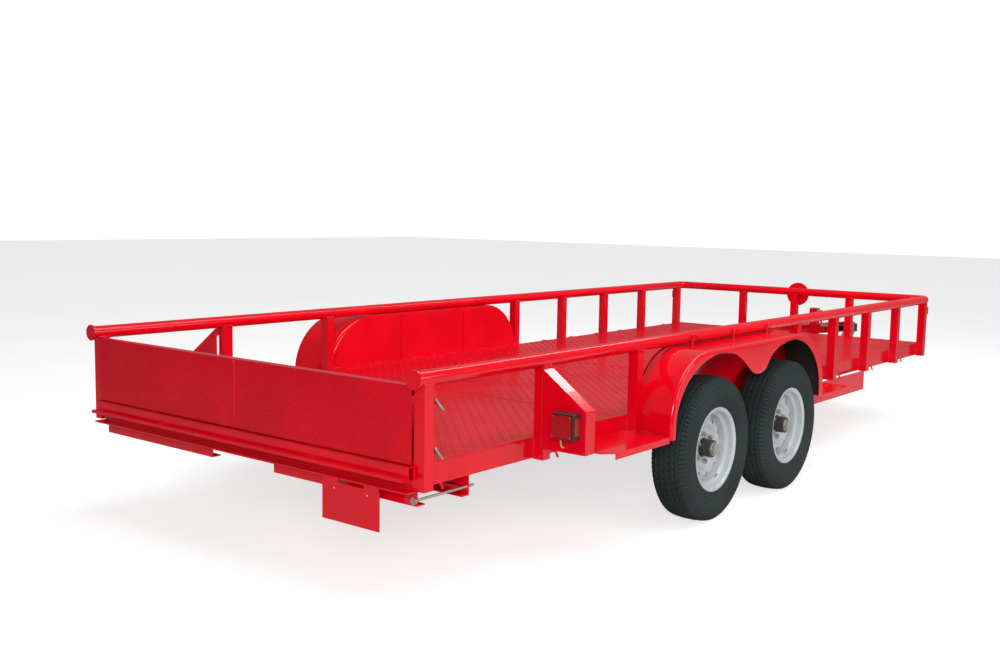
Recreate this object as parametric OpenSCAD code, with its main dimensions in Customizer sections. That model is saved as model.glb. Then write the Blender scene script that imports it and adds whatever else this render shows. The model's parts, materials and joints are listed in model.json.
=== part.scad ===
// Tandem-axle livestock and utility trailer with a pipe top rail.
// Origin: middle of the outline on the ground. +Y towards the hitch, +X the right side, +Z up.
// Lengths along the trailer are laid out from the rear end of the top rail (bed coordinates).

/* [Bed] */
// Length of the bed from the rail's rear end to the middle of the front rail
bed_l = 5624; // [4800:1:6200]
// Half distance between the two side rails, centre to centre
rail_x = 1045; // [950:1:1080]
// Height of the top rail's centre line
rail_z = 885; // [820:1:1000]
// Radius of the rail pipe
rail_r = 30.15; // [24:0.05:36]
// Wall of the rail pipe
rail_t = 3.9; // [2:0.1:6]
// Height of the deck's top face
deck_z = 562; // [500:1:640]
// Thickness of the deck plate
deck_t = 4; // [3:0.5:8]
// Underside of the side beams
beam_z0 = 473; // [420:1:520]
// Side of a square post
post = 50.8; // [40:0.1:60]
// Wall of a square post
post_t = 3.2; // [2:0.1:6]
// Lower end of the posts
post_z0 = 469; // [440:1:500]

/* [Wheels] */
// Tyre radius
tyre_r = 356; // [330:1:370]
// Tyre width
tyre_w = 195; // [180:1:230]
// Sideways position of the wheel's middle plane
wheel_x = 1170; // [1150:1:1220]
// Rear axle position
axle_r_y = 1930; // [1800:1:2100]
// Front axle position
axle_f_y = 2765; // [2600:1:2900]
// Pitch circle of the wheel studs
stud_pcd = 139.7; // [114.3, 139.7]

/* [Fenders] */
// Rear end of the fender
fend_y0 = 1443; // [1400:1:1460]
// Front end of the fender
fend_y1 = 3150; // [3140:1:3230]
// Top of the fender
fend_z = 852; // [800:1:870]
// Outer face of the fender apron
fend_x = 1278; // [1260:1:1300]
// Sheet thickness of the fenders
fend_t = 3; // [2:0.5:5]

/* [Hitch] */
// Position of the coupler ball
ball_y = 6896; // [6600:1:7100]
// Height of the coupler ball centre
ball_z = 506; // [450:1:560]
// Position of the jack
jack_y = 6040; // [5900:1:6500]

/* [Hidden] */
y_mid = 3455;
beam_x1 = rail_x - post / 2;
beam_x0 = beam_x1 - 70;
beam_z1 = deck_z - deck_t;
beam_t = 8;
front_y = bed_l - post / 2;
side_y = [775, 1499, 3266, 3840, 4402, 4968];
front_x = [-455, 0, 455];
elbow_r = 60;
pin_y = 125;
pin_z = [613, 797];
red = [0.80, 0.02, 0.07];
zinc = [0.75, 0.76, 0.74];
black = [0.04, 0.04, 0.045];
white = [0.93, 0.93, 0.92];
$fn = 64;

// ---- helpers -------------------------------------------------------------

// Moves bed coordinates to the part's frame.
module bed() {
    translate([0, -y_mid, 0]) children();
}

// Copies a right-hand piece to both sides.
module both() {
    children();
    mirror([1, 0, 0]) children();
}

// A block between two corners.
module block(a, b) {
    translate(a) cube([b[0] - a[0], b[1] - a[1], b[2] - a[2]]);
}

// A cylinder from point a to point b.
module rod(a, b, r) {
    d = b - a;
    l = norm(d);
    translate(a)
        rotate([0, acos(d[2] / l), atan2(d[1], d[0])])
            cylinder(r = r, h = l, $fn = 24);
}

// A bent rod through a list of points, with ball-shaped bends.
module bent(pts, r) {
    for (i = [0 : len(pts) - 2]) rod(pts[i], pts[i + 1], r);
    for (i = [1 : len(pts) - 2]) translate(pts[i]) sphere(r = r * 1.07, $fn = 24);
}

// A square tube standing on z0, centred on x, y.
module square_tube(x, y, z0, z1) {
    difference() {
        block([x - post / 2, y - post / 2, z0], [x + post / 2, y + post / 2, z1]);
        block([x - post / 2 + post_t, y - post / 2 + post_t, z0 - 1],
            [x + post / 2 - post_t, y + post / 2 - post_t, z1 + 1]);
    }
}

// ---- bed frame -----------------------------------------------------------

// Right side beam: a channel with its open side inwards.
module side_beam() {
    difference() {
        block([beam_x0, 51, beam_z0], [beam_x1, front_y, beam_z1]);
        block([beam_x0 - 1, 50, beam_z0 + beam_t], [beam_x1 - beam_t, front_y + 1, beam_z1 - beam_t]);
    }
}

module side_beams() {
    color(red) bed() both() side_beam();
}

// Rear beam: a square tube across the rear, over an angle whose lower leg reaches back.
module rear_beam() {
    color(red) bed() {
        difference() {
            block([-beam_x1, 0, 508], [beam_x1, 50, beam_z1]);
            block([-beam_x1 - 1, 4, 512], [beam_x1 + 1, 46, beam_z1 - 4]);
        }
        block([-beam_x1, 43, 467], [beam_x1, 49, 508]);
        block([-beam_x1, -10, 460], [beam_x1, 49, 467]);
    }
}

// Cross members: light channels between the side beams, with a deeper one at the front.
module cross_members() {
    color(red) bed() {
        for (y = [480 : 560 : 5000]) difference() {
            block([-beam_x1 + beam_t, y, 482], [beam_x1 - beam_t, y + 38, beam_z1 - beam_t]);
            block([-beam_x1, y - 1, 487], [beam_x1, y + 33, beam_z1 - beam_t - 5]);
        }
        difference() {
            block([-beam_x0, front_y - 50, beam_z0], [beam_x0, front_y, beam_z1]);
            block([-beam_x0 - 1, front_y - 51, beam_z0 + 6], [beam_x0 + 1, front_y - 7, beam_z1 - 6]);
        }
    }
}

// Deck: four tread plates laid end to end, with narrow welded seams.
module deck_plates() {
    n = 4;
    l = front_y / n;
    color(red) bed() for (i = [0 : n - 1])
        block([-beam_x1, i * l + (i > 0 ? 1 : 0), beam_z1], [beam_x1, (i + 1) * l - 1, deck_z]);
}

// ---- rails and posts -----------------------------------------------------

// Right side rail with its front elbow.
module side_rail() {
    y1 = bed_l - elbow_r;
    translate([rail_x, 0, rail_z]) {
        rotate([-90, 0, 0]) difference() {
            cylinder(r = rail_r, h = y1);
            translate([0, 0, -1]) cylinder(r = rail_r - rail_t, h = y1 + 2);
        }
        translate([-elbow_r, y1, 0]) rotate_extrude(angle = 90)
            translate([elbow_r, 0]) difference() {
                circle(r = rail_r);
                circle(r = rail_r - rail_t);
            }
    }
}

module side_rails() {
    color(red) bed() both() side_rail();
}

module front_rail() {
    l = 2 * (rail_x - elbow_r);
    color(red) bed() translate([-l / 2, bed_l, rail_z]) rotate([0, 90, 0]) difference() {
        cylinder(r = rail_r, h = l);
        translate([0, 0, -1]) cylinder(r = rail_r - rail_t, h = l + 2);
    }
}

// Flat discs that close the rear ends of the rails.
module rail_caps() {
    color(red) bed() both() translate([rail_x, 0, rail_z]) rotate([90, 0, 0]) cylinder(r = 37.5, h = 8);
}

// One post under a side rail, its top saddled to the pipe.
module side_post(y) {
    difference() {
        square_tube(rail_x, y, post_z0, rail_z);
        translate([rail_x, y - 60, rail_z]) rotate([-90, 0, 0]) cylinder(r = rail_r, h = 120);
    }
}

// Rear posts with the lugs that carry the gate's pins; front posts under the elbows.
module corner_posts() {
    color(red) bed() both() {
        side_post(52.4);
        for (z = pin_z) difference() {
            block([beam_x1, 77.8, z - 20], [beam_x1 + 8, pin_y + 18, z + 20]);
            translate([beam_x1 - 1, pin_y, z]) rotate([0, 90, 0]) cylinder(r = 6.05, h = 10, $fn = 32);
        }
        difference() {
            square_tube(rail_x, bed_l - post / 2 - elbow_r + 10, post_z0, rail_z);
            translate([rail_x, bed_l - 200, rail_z]) rotate([-90, 0, 0])
                cylinder(r = rail_r, h = 200 - elbow_r);
            translate([rail_x - elbow_r, bed_l - elbow_r, rail_z]) rotate_extrude(angle = 90)
                translate([elbow_r, 0]) circle(r = rail_r);
        }
    }
}

module side_posts() {
    color(red) bed() both() for (y = side_y) side_post(y);
}

module front_posts() {
    color(red) bed() for (x = front_x) difference() {
        square_tube(x, bed_l, post_z0, rail_z);
        translate([x - 60, bed_l, rail_z]) rotate([0, 90, 0]) cylinder(r = rail_r, h = 120);
    }
}

// Space taken by a side post, cut out of the plates that meet it.
module post_space(y, z0) {
    block([rail_x - post / 2, y - post / 2, z0], [rail_x + post / 2, y + post / 2, 900]);
}

// ---- fenders -------------------------------------------------------------

// Side outline of the fender: straight ends, elliptical shoulders and a flat top.
// in: how far the outline is pulled inwards from the outer face.
function fender_arc(y0, y1, z1, in) = concat(
    [[y0 + in, beam_z0]],
    [for (a = [0 : 7.5 : 90]) [y0 + in + (330 - in) * (1 - cos(a)), 530 + (z1 - 530 - in) * sin(a)]],
    [for (a = [0 : 7.5 : 90]) [y1 - in - (330 - in) * (1 - sin(a)), 530 + (z1 - 530 - in) * cos(a)]],
    [[y1 - in, beam_z0]]);

// Curved top of the fender, wrapping over both wheels.
module fender_skin() {
    p = concat(fender_arc(fend_y0, fend_y1, fend_z, 0),
        [for (q = [len(fender_arc(0, 1, 1, 0)) - 1 : -1 : 0]) fender_arc(fend_y0, fend_y1, fend_z, fend_t)[q]]);
    difference() {
        translate([beam_x1 + 4, 0, 0]) rotate([90, 0, 90])
            linear_extrude(height = fend_x - fend_t - beam_x1 - 4) polygon(p);
        post_space(side_y[1], 460);
    }
}

module fender_skins() {
    color(red) bed() both() fender_skin();
}

// Opening in the apron: an elliptical arch over each wheel and a rounded lobe between them.
arch = concat(
    [[1460, 300]],
    [for (a = [0 : 7.5 : 90]) [1905 - 445 * cos(a), 480 + 354 * sin(a)]],
    [[1980, 829], [2045, 815], [2125, 780], [2175, 748], [2210, 722], [2250, 700], [2310, 690],
        [2370, 700], [2395, 715], [2420, 742], [2445, 768], [2485, 790], [2545, 813], [2615, 830]],
    [for (a = [0 : 7.5 : 90]) [2690 + 400 * sin(a), 470 + 366 * cos(a)]],
    [[3090, 300]]);

module fender_apron() {
    translate([fend_x - fend_t, 0, 0]) rotate([90, 0, 90]) linear_extrude(height = fend_t) difference() {
        polygon(fender_arc(fend_y0, fend_y1, fend_z, 0));
        polygon(arch);
    }
}

module fender_aprons() {
    color(red) bed() both() fender_apron();
}

// Inner wall between the two posts beside the wheels.
module fender_wall() {
    translate([beam_x1, 0, 0]) rotate([90, 0, 90]) linear_extrude(height = 4)
        polygon(fender_arc(side_y[1] + post / 2, side_y[2] - post / 2, fend_z + 6, 0));
    for (y = [2088, 2682]) block([beam_x1 - 5, y - 3, deck_z], [beam_x1, y + 3, 846]);
}

module fender_walls() {
    color(red) bed() both() fender_wall();
}

// Steps: a folded plate before and behind each fender.
module steps() {
    color(red) bed() both() difference() {
        union() {
            translate([0, 0, 486]) linear_extrude(height = 5)
                polygon([[beam_x1, 950], [1228, 950], [1268, 1000], [1268, fend_y0], [beam_x1, fend_y0]]);
            block([1263, 1000, 461], [1268, fend_y0, 486]);
            translate([0, 0, 476]) linear_extrude(height = 5)
                polygon([[beam_x1, fend_y1], [1268, fend_y1], [1268, 3560], [1228, 3610], [beam_x1, 3610]]);
            block([1263, fend_y1, 451], [1268, 3560, 476]);
        }
        block([beam_x1 - 1, fend_y1 - 1, 470], [beam_x1 + 4, side_y[2] - post / 2, 490]);
        post_space(side_y[2], 470);
    }
}

// Deep skirt plates below the side beams in front of the fenders.
module front_skirts() {
    color(red) bed() both() difference() {
        block([beam_x1 + 36, 3292, 349], [beam_x1 + 40, 4376.5, 476]);
        post_space(side_y[3], post_z0);
    }
}

// ---- lamps ---------------------------------------------------------------

// Bracket on the second post: back plate, sloping roof and outer cheek.
module tail_brackets() {
    x0 = rail_x + post / 2;
    color(red) bed() both() {
        translate([0, 738, 0]) rotate([90, 0, 0]) linear_extrude(height = 4)
            polygon([[x0, 523], [1290, 523], [1290, 700], [x0, 856]]);
        translate([0, 800, 0]) rotate([90, 0, 0]) linear_extrude(height = 62)
            polygon([[x0, 852.4], [1290, 696.4], [1290, 700], [x0, 856]]);
        block([1286.5, 738, 523], [1290, 800, 695]);
    }
}

module tail_lamp_housings() {
    color(black) bed() both() difference() {
        block([1159, 678, 588], [1265, 734, 692]);
        block([1164, 677, 593], [1260, 684, 687]);
        block([1258, 690, 603], [1266, 724, 677]);
    }
}

module tail_lamp_lenses() {
    color([0.75, 0.02, 0.03]) bed() both() difference() {
        block([1164.2, 672, 593.2], [1259.8, 684, 686.8]);
        for (x = [1170, 1254], z = [599, 681]) translate([x, 676, z]) rotate([90, 0, 0])
            cylinder(r = 3.2, h = 6, $fn = 24);
    }
}

module side_lenses() {
    color([0.75, 0.02, 0.03]) bed() both() block([1258, 690.2, 603.2], [1268, 723.8, 676.8]);
}

module lamp_screws() {
    color(zinc) bed() both() for (x = [1170, 1254], z = [599, 681])
        translate([x, 676, z]) rotate([90, 0, 0]) cylinder(r = 3, h = 3.5, $fn = 24);
}

// Short lead from each lamp down behind the bracket plate.
module lamp_leads() {
    color([0.85, 0.80, 0.68]) bed() both()
        bent([[1185, 712, 588], [1185, 712, 562], [1185, 722, 545], [1185, 734, 545]], 3);
}

// Small amber lamps on the front corner posts.
module marker_lamps() {
    color([0.95, 0.45, 0.05]) bed() both()
        block([rail_x + post / 2, front_y - elbow_r - 5, 780], [rail_x + post / 2 + 12, front_y - elbow_r + 25, 836]);
}

// ---- hooks, ramp fittings, plate bracket ---------------------------------

// Rope hook on the front face of a post, near its lower end.
module post_hook(y) {
    z = post_z0 + 24;
    difference() {
        bent([[rail_x + 10, y + post / 2 - 8, z - 6], [rail_x + 22, y + post / 2 + 16, z + 12],
            [rail_x + 30, y + post / 2 + 32, z + 4], [rail_x + 34, y + post / 2 + 44, z - 22]], 5);
        post_space(y, 440);
    }
}

// Rope hook standing on the fender beside the rail.
module rail_hook(y) {
    x = rail_x + rail_r + 8;
    bent([[x, y, fend_z], [x, y, rail_z + 10], [x + 3, y + 12, rail_z + 18],
        [x + 8, y + 30, rail_z + 4]], 5);
}

module rope_hooks() {
    color(red) bed() both() {
        for (y = [52.4, 775, 3840, 4402, 4968]) post_hook(y);
        for (y = [1960, 2400, 2800]) rail_hook(y);
    }
}

// Bar that ramp hooks drop over, standing off the rear beam.
module ramp_rail() {
    color(red) bed() {
        block([-1012, -32, 508], [1012, -20, 522]);
        for (x = [-984, -492, 0, 492, 984]) block([x - 28, -20.01, 508], [x + 28, 0, 522]);
    }
}

// Angles under the deck that carry side-loaded ramps, the rear ones spaced off the beam.
module ramp_rack() {
    color(red) bed() difference() {
        union() {
            both() {
                block([205, 55, 402], [1010, 61, beam_z0]);
                block([205, 61, 402], [1010, 100, 408]);
                for (x = [215, 800]) block([x, 49, 440], [x + 40, 55, 505]);
            }
            block([-1005, 352, 388], [1005, 358, beam_z0]);
            block([-1005, 314, 388], [1005, 352, 394]);
        }
        translate([998, 0, 423]) rotate([-90, 0, 0]) cylinder(r = 5.5, h = 400, $fn = 32);
    }
}

// Licence plate bracket hung from the rear flange on two tabs.
module plate_bracket() {
    color(red) bed() translate([0, -10, 0]) rotate([90, 0, 0]) linear_extrude(height = 3) difference() {
        union() {
            translate([574, 296]) square([310, 152]);
            translate([580, 447]) square([82, 20]);
            translate([800, 447]) square([80, 20]);
        }
        for (x = [640, 818]) translate([x, 424]) circle(r = 4, $fn = 32);
    }
}

// Rod that keeps stored ramps in the rack, with a round head at the rear.
module ramp_lock_rod() {
    color(zinc) bed() translate([998, 0, 423]) rotate([-90, 0, 0]) {
        translate([0, 0, 52]) cylinder(r = 5.45, h = 338, $fn = 32);
        translate([0, 0, 48]) cylinder(r = 14, h = 5, $fn = 32);
    }
}

// ---- tailgate ------------------------------------------------------------

// Two tread sheets meeting at the middle, each with a folded top edge.
module gate_sheets() {
    color(red) bed() both() {
        block([0.6, 18, 566], [1012, 21, 858]);
        block([0.6, 21, 855], [1012, 58, 858]);
    }
}

// Tube frame behind the sheets, with hooked ears that hang on the pins.
module gate_frame() {
    color(red) bed() {
        difference() {
            union() {
                block([-1012, 21, 566], [1012, 58, 603]);
                block([-1012, 21, 818], [1012, 58, 855]);
                both() block([975, 21, 603], [1012, 58, 818]);
                block([-18, 21, 603], [18, 58, 818]);
            }
            block([-1013, 24, 569], [1013, 55, 600]);
            block([-1013, 24, 821], [1013, 55, 852]);
        }
        both() for (z = pin_z) difference() {
            block([1004, 58, z - 20], [1012, pin_y + 18, z + 20]);
            translate([1000, pin_y, z]) rotate([0, 90, 0]) cylinder(r = 6.6, h = 20, $fn = 32);
            block([1000, pin_y - 6.6, z - 21], [1014, pin_y + 6.6, z]);
        }
    }
}

// Bent locking pin: a straight shank and a handle that hangs forward and down.
module gate_pin(z) {
    color(zinc) bed() {
        translate([1002, pin_y, z]) rotate([0, 90, 0]) cylinder(r = 6, h = 34, $fn = 32);
        translate([1036, pin_y, z]) sphere(r = 6, $fn = 32);
        rod([1036, pin_y, z], [1042, pin_y + 34, z - 42], 5);
    }
}

module gate_pin_upper_right() {
    gate_pin(pin_z[1]);
}

module gate_pin_upper_left() {
    mirror([1, 0, 0]) gate_pin(pin_z[1]);
}

module gate_pin_lower_right() {
    gate_pin(pin_z[0]);
}

module gate_pin_lower_left() {
    mirror([1, 0, 0]) gate_pin(pin_z[0]);
}

// ---- running gear --------------------------------------------------------

// Axle tubes with stub spindles and brake backing plates.
module axles() {
    color(black) bed() for (y = [axle_r_y, axle_f_y]) translate([0, y, tyre_r]) {
        translate([-1070, 0, 0]) rotate([0, 90, 0]) cylinder(r = 38, h = 2140);
        both() {
            translate([1070, 0, 0]) rotate([0, 90, 0]) cylinder(r = 148, h = 5);
            translate([1075, 0, 0]) rotate([0, 90, 0]) cylinder(r = 20, h = 150);
            translate([955, 0, 30]) block([-28, -45, 0], [28, 45, 26]);
        }
    }
}

// Height of the main leaf's top face at a distance x from the middle of a spring.
function leaf_top(x) = 440 + 12 * x * x / 322 / 322;

// Outline of a stack of four leaves, each shorter than the one above it.
function leaf_stack() = concat(
    [for (i = [-14 : 14]) [i * 23, leaf_top(i * 23)]],
    [[322, leaf_top(322) - 7], [250, leaf_top(250) - 7], [250, leaf_top(250) - 14],
        [180, leaf_top(180) - 14], [180, leaf_top(180) - 21], [110, leaf_top(110) - 21],
        [110, leaf_top(110) - 28], [0, leaf_top(0) - 28], [-110, leaf_top(110) - 28],
        [-110, leaf_top(110) - 21], [-180, leaf_top(180) - 21], [-180, leaf_top(180) - 14],
        [-250, leaf_top(250) - 14], [-250, leaf_top(250) - 7], [-322, leaf_top(322) - 7]]);

// Four springs with rolled eyes.
module leaf_springs() {
    color(black) bed() both() for (y = [1935, 2775]) translate([933, y, 0]) rotate([90, 0, 90])
        linear_extrude(height = 44) difference() {
            union() {
                polygon(leaf_stack());
                for (s = [-1, 1]) translate([s * 335, 449]) circle(r = 15);
            }
            for (s = [-1, 1]) translate([s * 335, 449]) circle(r = 8);
        }
}

// Hangers, shackle rockers, bolts, spring plates and U-bolts.
module spring_hangers() {
    color(black) bed() both() {
        for (y = [1600, 3110]) {
            for (x = [925, 979]) block([x, y - 32, 428], [x + 6, y + 32, beam_z0]);
            translate([925, y, 449]) rotate([0, 90, 0]) cylinder(r = 7.9, h = 60);
        }
        for (x = [917, 987]) block([x, 2323, 428], [x + 6, 2387, beam_z0]);
        translate([917, 2355, 449]) rotate([0, 90, 0]) cylinder(r = 10, h = 76);
        for (x = [925, 979]) block([x, 2250, 438], [x + 6, 2460, 460]);
        block([931, 2324, 440], [979, 2386, 458]);
        for (y = [2270, 2440]) translate([925, y, 449]) rotate([0, 90, 0]) cylinder(r = 7.9, h = 60);
    }
}

// ---- wheels --------------------------------------------------------------

// Places a wheel-shaped piece whose own +Z is the outer side.
module at_wheel(side, y) {
    bed() translate([side * wheel_x, y, tyre_r]) rotate([0, side * 90, 0]) children();
}

module tyre() {
    w = tyre_w / 2;
    r = tyre_r;
    color(black) rotate_extrude($fn = 128) polygon([[191, 70.7], [199.7, 75.7],
        [207.4, 75.7], [207.4, 80.4], [212, 84], [235, w - 5],
        [262, w - 0.6], [285, w], [305, w - 2], [326, w - 9], [340, w - 16], [349, w - 24], [353.5, w - 34],
        [r, w - 60], [r, -w + 60], [353.5, -w + 34], [349, -w + 24], [340, -w + 16], [326, -w + 9],
        [305, -w + 2], [285, -w], [262, -w + 0.6], [235, -w + 5], [212, -84], [207.4, -80.4], [207.4, -75.7],
        [199.7, -75.7], [191, -70.7],
        [191, -50], [215, -68], [250, -w + 16], [300, -w + 14], [330, -w + 34], [342, 0],
        [330, w - 34], [300, w - 14], [250, w - 16], [215, 68], [191, 50]]);
}

// Steel wheel with ten hand holes; turn sets how it stands.
module rim(turn) {
    color(white) rotate([0, 0, turn]) difference() {
        rotate_extrude($fn = 96) polygon([[207, 80], [207, 76], [199.5, 76], [190.8, 71], [190.5, 45],
            [172, 35], [172, -5], [187, -30], [190.5, -45], [190.8, -71], [199.5, -76], [207, -76],
            [207, -80], [196, -80], [186, -74], [185.5, -42], [182, -27], [167, -3], [167, 2.5], [148, 10],
            [132, 17], [116, 17], [104, 6], [94, 2], [48, 2], [48, 8], [92, 8], [100, 12], [114, 24],
            [134, 24], [150, 17], [167, 9.5], [167, 38], [185, 48], [186, 74], [196, 80]]);
        for (a = [0 : 36 : 324]) rotate([0, 0, a]) translate([139, 0, -10]) cylinder(r = 14, h = 60, $fn = 32);
        for (a = [0 : 60 : 300]) rotate([0, 0, a]) translate([stud_pcd / 2, 0, -10])
            cylinder(r = 8, h = 60, $fn = 32);
        rotate([0, 0, 18]) rod([190, 0, 28], [150, 0, 58], 4.3);
    }
}

// Brake drum, flange and the black hub barrel, bored for the spindle.
module hub() {
    color(black) difference() {
        union() {
            translate([0, 0, -70]) cylinder(r = 140, h = 62);
            translate([0, 0, -8]) cylinder(r = 88, h = 10);
            translate([0, 0, 2]) cylinder(r = 43, h = 60);
        }
        translate([0, 0, -71]) cylinder(r = 132, h = 54);
        translate([0, 0, -80]) cylinder(r = 20.05, h = 139, $fn = 64);
    }
}

// Dust cap with its plug, six studs with nuts, and the valve.
module hardware(turn) {
    color(zinc) rotate([0, 0, turn]) {
        translate([0, 0, 62]) {
            cylinder(r = 34, h = 6);
            cylinder(r = 29, h = 20);
            cylinder(r = 9, h = 23);
        }
        for (a = [0 : 60 : 300]) rotate([0, 0, a]) translate([stud_pcd / 2, 0, 2]) {
            cylinder(r = 7.9, h = 7, $fn = 32);
            translate([0, 0, 6]) cylinder(r = 12, h = 17, $fn = 6);
            translate([0, 0, 22]) cylinder(r = 8, h = 5, $fn = 32);
        }
        rotate([0, 0, 18]) rod([182, 0, 34], [148, 0, 59.5], 4.2);
    }
}

module tyre_rear_left() {
    at_wheel(-1, axle_r_y) tyre();
}

module tyre_rear_right() {
    at_wheel(1, axle_r_y) tyre();
}

module tyre_front_left() {
    at_wheel(-1, axle_f_y) tyre();
}

module tyre_front_right() {
    at_wheel(1, axle_f_y) tyre();
}

module rim_rear_left() {
    at_wheel(-1, axle_r_y) rim(0);
}

module rim_rear_right() {
    at_wheel(1, axle_r_y) rim(8);
}

module rim_front_left() {
    at_wheel(-1, axle_f_y) rim(14);
}

module rim_front_right() {
    at_wheel(1, axle_f_y) rim(-2);
}

module hub_rear_left() {
    at_wheel(-1, axle_r_y) hub();
}

module hub_rear_right() {
    at_wheel(1, axle_r_y) hub();
}

module hub_front_left() {
    at_wheel(-1, axle_f_y) hub();
}

module hub_front_right() {
    at_wheel(1, axle_f_y) hub();
}

module hardware_rear_left() {
    at_wheel(-1, axle_r_y) hardware(0);
}

module hardware_rear_right() {
    at_wheel(1, axle_r_y) hardware(8);
}

module hardware_front_left() {
    at_wheel(-1, axle_f_y) hardware(14);
}

module hardware_front_right() {
    at_wheel(1, axle_f_y) hardware(-2);
}

// ---- tongue --------------------------------------------------------------

// A-frame of two channels with a cross plate for the jack.
module tongue() {
    color(red) bed() {
        both() difference() {
            translate([0, 0, beam_z0]) linear_extrude(height = beam_z1 - beam_z0)
                polygon([[470, front_y], [405, front_y], [32, ball_y - 190], [32, ball_y - 40], [46, ball_y - 40]]);
            translate([0, 0, beam_z0 + 7]) linear_extrude(height = beam_z1 - beam_z0 - 14)
                polygon([[461, front_y - 1], [380, front_y - 1], [0, ball_y - 190], [0, ball_y - 30], [38, ball_y - 30]]);
            block([455 - post / 2, front_y - 1, 460], [455 + post / 2, bed_l + post / 2, 570]);
        }
        translate([0, 0, beam_z0 - 8]) linear_extrude(height = 8) difference() {
            polygon([[-330, jack_y - 45], [330, jack_y - 45], [300, jack_y + 45], [-300, jack_y + 45]]);
            translate([0, jack_y]) square([64, 64], center = true);
        }
    }
}

// Ball coupler with a round socket open to the ground and two ears for the latch.
module coupler() {
    z = beam_z0 + 66;
    color(black) bed() difference() {
        union() {
            block([-31.5, ball_y - 260, beam_z0 + 12], [31.5, ball_y, z]);
            translate([0, ball_y, beam_z0 - 3]) cylinder(r = 46, h = 69);
            both() block([10, ball_y - 34, z - 1], [15, ball_y - 6, z + 20]);
        }
        translate([0, ball_y, ball_z]) sphere(r = 29.8);
        translate([0, ball_y, beam_z0 - 10]) cylinder(r = 29.8, h = ball_z - beam_z0 + 10);
        block([-24, ball_y - 261, beam_z0 + 18], [24, ball_y - 60, beam_z0 + 60]);
        translate([-20, ball_y - 20, z + 10]) rotate([0, 90, 0]) cylinder(r = 4.05, h = 40, $fn = 32);
    }
}

// Latch lever hinged on top of the coupler.
module coupler_latch() {
    z = beam_z0 + 66;
    color(zinc) bed() {
        block([-9, ball_y - 120, z + 6], [9, ball_y - 20, z + 14]);
        translate([-9, ball_y - 20, z + 10]) rotate([0, 90, 0]) cylinder(r = 9, h = 18);
        translate([-17, ball_y - 20, z + 10]) rotate([0, 90, 0]) cylinder(r = 4, h = 34, $fn = 32);
        translate([0, ball_y - 112, z + 14]) cylinder(r = 7, h = 16);
    }
}

// Flange behind the front rail that carries the spare wheel on three studs.
module spare_carrier() {
    y0 = bed_l + rail_r;
    color(red) bed() {
        difference() {
            translate([-40, y0 - 8, 800]) cube([80, 30, 100]);
            translate([-50, bed_l, rail_z]) rotate([0, 90, 0]) cylinder(r = rail_r, h = 100);
            block([-post / 2, bed_l - post / 2, 790], [post / 2, bed_l + post / 2, 910]);
        }
        translate([0, y0 + 22, 863]) rotate([-90, 0, 0]) cylinder(r = 92, h = 10);
        for (a = [0, 120, 240]) translate([69.85 * sin(a), y0 + 32, 863 + 69.85 * cos(a)])
            rotate([-90, 0, 0]) cylinder(r = 6.35, h = 38, $fn = 32);
    }
}

// Screw jack: a square outer tube, closed at the top, bored for the leg and the crank.
module jack_body() {
    color(red) bed() difference() {
        block([-32, jack_y - 32, 372], [32, jack_y + 32, 728]);
        translate([0, jack_y, 371]) cylinder(r = 26, h = 310);
        translate([0, jack_y, 706]) rotate([0, 90, 0]) cylinder(r = 6.05, h = 50, $fn = 32);
    }
}

// Inner leg and its round foot, standing on the ground.
module jack_leg() {
    color(zinc) bed() translate([0, jack_y, 0]) {
        cylinder(r = 62, h = 6);
        translate([0, 0, 6]) difference() {
            cylinder(r = 25.5, h = 652);
            translate([0, 0, 4]) cylinder(r = 21, h = 650);
        }
    }
}

// Side crank on the gear head.
module jack_crank() {
    color(zinc) bed() translate([0, jack_y, 706]) {
        translate([2, 0, 0]) rotate([0, 90, 0]) cylinder(r = 6, h = 66, $fn = 32);
        translate([62, 0, 0]) block([-5, -9, -130], [5, 9, 9]);
        translate([67, 0, -120]) rotate([0, 90, 0]) cylinder(r = 9, h = 70, $fn = 32);
    }
}

side_beams();
rear_beam();
cross_members();
deck_plates();
side_rails();
front_rail();
rail_caps();
corner_posts();
side_posts();
front_posts();
fender_skins();
fender_aprons();
fender_walls();
steps();
front_skirts();
tail_brackets();
tail_lamp_housings();
tail_lamp_lenses();
side_lenses();
lamp_screws();
lamp_leads();
marker_lamps();
rope_hooks();
ramp_rail();
ramp_rack();
plate_bracket();
ramp_lock_rod();
gate_sheets();
gate_frame();
gate_pin_upper_left();
gate_pin_upper_right();
gate_pin_lower_left();
gate_pin_lower_right();
axles();
leaf_springs();
spring_hangers();
tongue();
coupler();
coupler_latch();
spare_carrier();
jack_body();
jack_leg();
jack_crank();
tyre_rear_left();
tyre_rear_right();
tyre_front_left();
tyre_front_right();
rim_rear_left();
rim_rear_right();
rim_front_left();
rim_front_right();
hub_rear_left();
hub_rear_right();
hub_front_left();
hub_front_right();
hardware_rear_left();
hardware_rear_right();
hardware_front_left();
hardware_front_right();
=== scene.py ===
"""Finishes, tyres, fenders, tread plate and welds for a tandem-axle livestock trailer."""
import json
import math

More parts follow.
